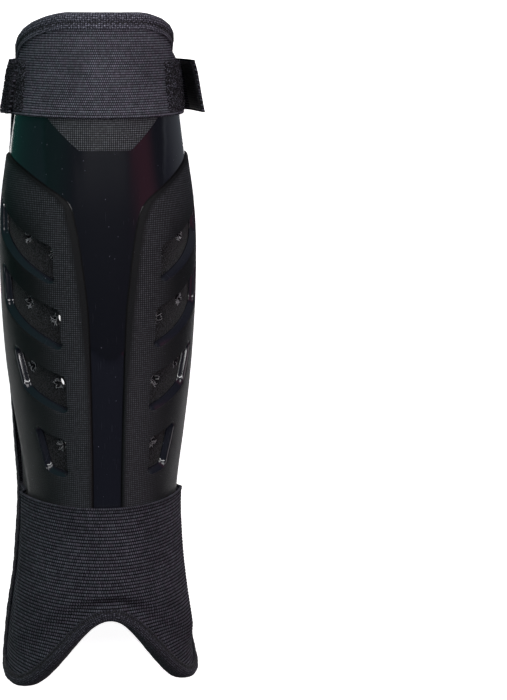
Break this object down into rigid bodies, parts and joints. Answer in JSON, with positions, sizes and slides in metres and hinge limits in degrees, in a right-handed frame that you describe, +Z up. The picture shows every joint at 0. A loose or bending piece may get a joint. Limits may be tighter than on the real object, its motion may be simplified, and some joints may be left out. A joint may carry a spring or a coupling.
{
  "type": "field hockey shin guard",
  "caption": "Foam-lined shin guard with a hard vented front shell, ribbed elastic cover and ankle sleeve, bound edge and a hook-and-loop calf strap.",
  "frame": {"origin": "on the table, under the middle of the guard's box", "axes": "+X to the guard's width, to the right as seen from the front with the knee end up; +Y to the knee end; +Z up, out of the front of the shin"},
  "size_m": [0.0996, 0.3316, 0.074],
  "materials": {
    "liner_knit": "matte black knit on foam",
    "shell_plastic": "glossy black stripe, dotted satin charcoal sides",
    "ribbed_elastic": "ribbed black elastic",
    "binding_tape": "black knit tape",
    "strap_elastic": "ribbed black elastic",
    "loop_pile": "fuzzy black loop pile",
    "hook_tape": "black hook tape",
    "label_weave": "bare black woven label"
  },
  "bodies": {
    "root": {"foam_liner": "liner_knit", "shin_shell": "shell_plastic", "top_cover": "ribbed_elastic", "ankle_sleeve": "ribbed_elastic", "edge_binding": "binding_tape", "calf_strap": "strap_elastic", "loop_patch_left": "loop_pile", "loop_patch_right": "loop_pile", "hook_patch_left": "hook_tape", "hook_patch_right": "hook_tape", "woven_label": "label_weave"}
  },
  "joints": []
}
